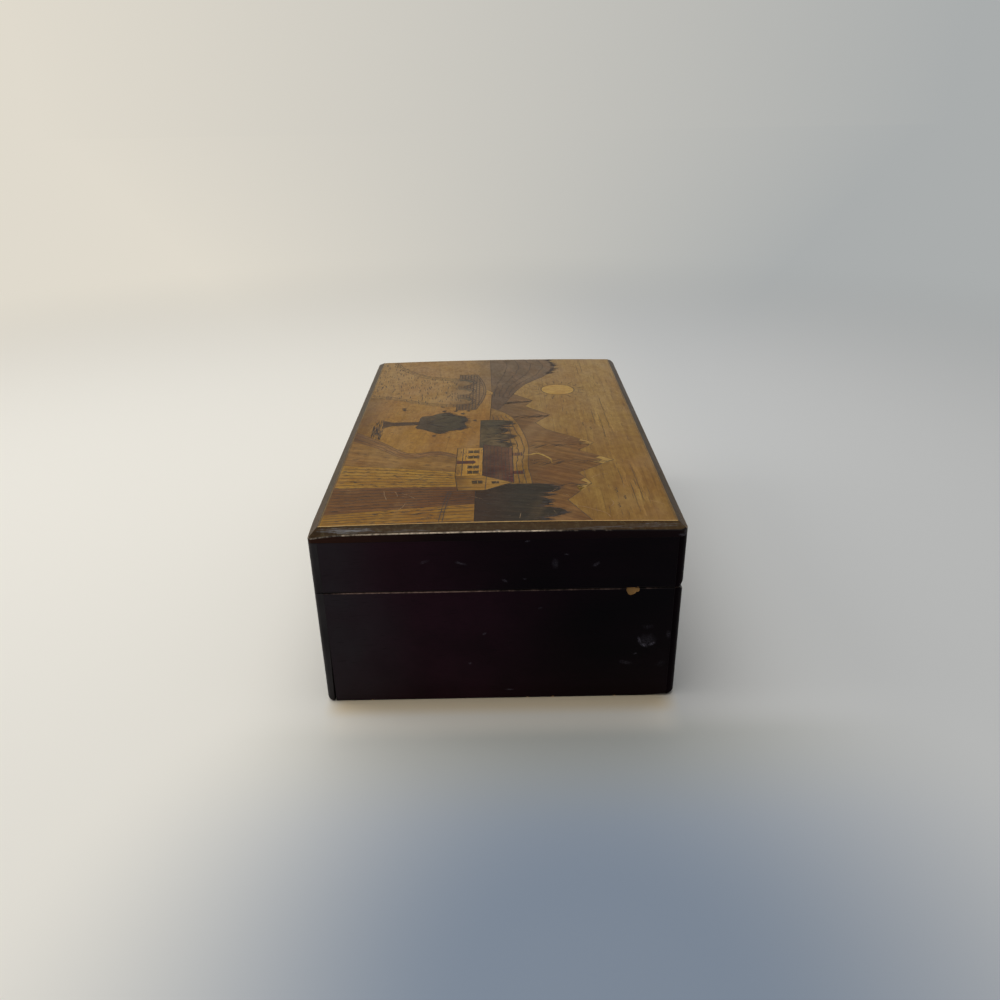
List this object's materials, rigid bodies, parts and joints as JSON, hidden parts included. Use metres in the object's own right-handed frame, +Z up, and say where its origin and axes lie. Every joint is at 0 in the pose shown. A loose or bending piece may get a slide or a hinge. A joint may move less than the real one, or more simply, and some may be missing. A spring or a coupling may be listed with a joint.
{
  "type": "marquetry jewelry box",
  "caption": "Low rectangular wooden box with a hinged lid, a bevelled dark border and an inlaid veneer landscape on the lid, padded and lined inside.",
  "frame": {"origin": "middle of the underside, on the surface that the box stands on", "axes": "+X along the box to the right, +Y from the front to the hinge side, +Z up"},
  "size_m": [0.2, 0.129, 0.0723],
  "materials": {
    "stained_wood": "dark mahogany stain under a worn gloss lacquer",
    "dark_edging": "dark brown stained wood, half gloss",
    "pale_stringing": "pale maple line, half gloss",
    "plywood": "bare birch plywood",
    "honey_veneer": "honey coloured veneer with a fine straight grain, half gloss",
    "boxwood_veneer": "pale yellow veneer, half gloss",
    "golden_veneer": "golden brown veneer, half gloss",
    "amber_veneer": "amber veneer with a soft cloudy figure, half gloss",
    "walnut_veneer": "mid brown veneer with dark pores, half gloss",
    "rosewood_veneer": "purple brown veneer with dark streaks, half gloss",
    "figured_veneer": "pale veneer with a rippled figure, half gloss",
    "green_veneer": "green black dyed veneer, half gloss",
    "lining_fabric": "dark red velvet",
    "brass": "aged brass",
    "steel": "plain steel wire"
  },
  "bodies": {
    "base": {"base_front_board": "stained_wood", "base_back_board": "stained_wood", "base_left_board": "stained_wood", "base_right_board": "stained_wood", "bottom_panel": "plywood", "lining_front": "lining_fabric", "lining_back": "lining_fabric", "lining_left": "lining_fabric", "lining_right": "lining_fabric", "floor_pad": "lining_fabric", "hinge_left_base_leaf": "brass", "hinge_left_pin": "steel", "hinge_left_base_screw_1": "brass", "hinge_left_base_screw_2": "brass", "hinge_right_base_leaf": "brass", "hinge_right_pin": "steel", "hinge_right_base_screw_1": "brass", "hinge_right_base_screw_2": "brass"},
    "lid": {"lid_front_board": "stained_wood", "lid_back_board": "stained_wood", "lid_left_board": "stained_wood", "lid_right_board": "stained_wood", "lid_core": "plywood", "edge_strip_front": "dark_edging", "edge_strip_back": "dark_edging", "edge_strip_left": "dark_edging", "edge_strip_right": "dark_edging", "stringing_front": "pale_stringing", "stringing_back": "pale_stringing", "stringing_left": "pale_stringing", "stringing_right": "pale_stringing", "veneer_sky": "honey_veneer", "veneer_sun": "boxwood_veneer", "veneer_mountains": "walnut_veneer", "veneer_left_hill": "rosewood_veneer", "veneer_middle_hill": "golden_veneer", "veneer_meadow_left": "amber_veneer", "veneer_meadow_middle": "amber_veneer", "veneer_field_1": "walnut_veneer", "veneer_field_2": "golden_veneer", "veneer_field_3": "rosewood_veneer", "veneer_field_4": "golden_veneer", "veneer_river_far": "figured_veneer", "veneer_river_near": "figured_veneer", "veneer_path": "walnut_veneer", "veneer_trees_row": "green_veneer", "veneer_trees_by_house": "green_veneer", "veneer_bridge": "walnut_veneer", "veneer_house_gable": "golden_veneer", "veneer_house_wall": "boxwood_veneer", "veneer_house_roof": "rosewood_veneer", "veneer_oak_trunk": "walnut_veneer", "veneer_oak_crown": "green_veneer", "lid_pad": "lining_fabric", "hinge_left_lid_leaf": "brass", "hinge_left_lid_screw_1": "brass", "hinge_left_lid_screw_2": "brass", "hinge_right_lid_leaf": "brass", "hinge_right_lid_screw_1": "brass", "hinge_right_lid_screw_2": "brass"}
  },
  "joints": [
    {"name": "lid_hinge", "type": "hinge", "parent": "base", "child": "lid", "pos_m": [0, 0.063, 0.04715], "axis": [-1, 0, 0], "range_deg": [0, 103]}
  ]
}
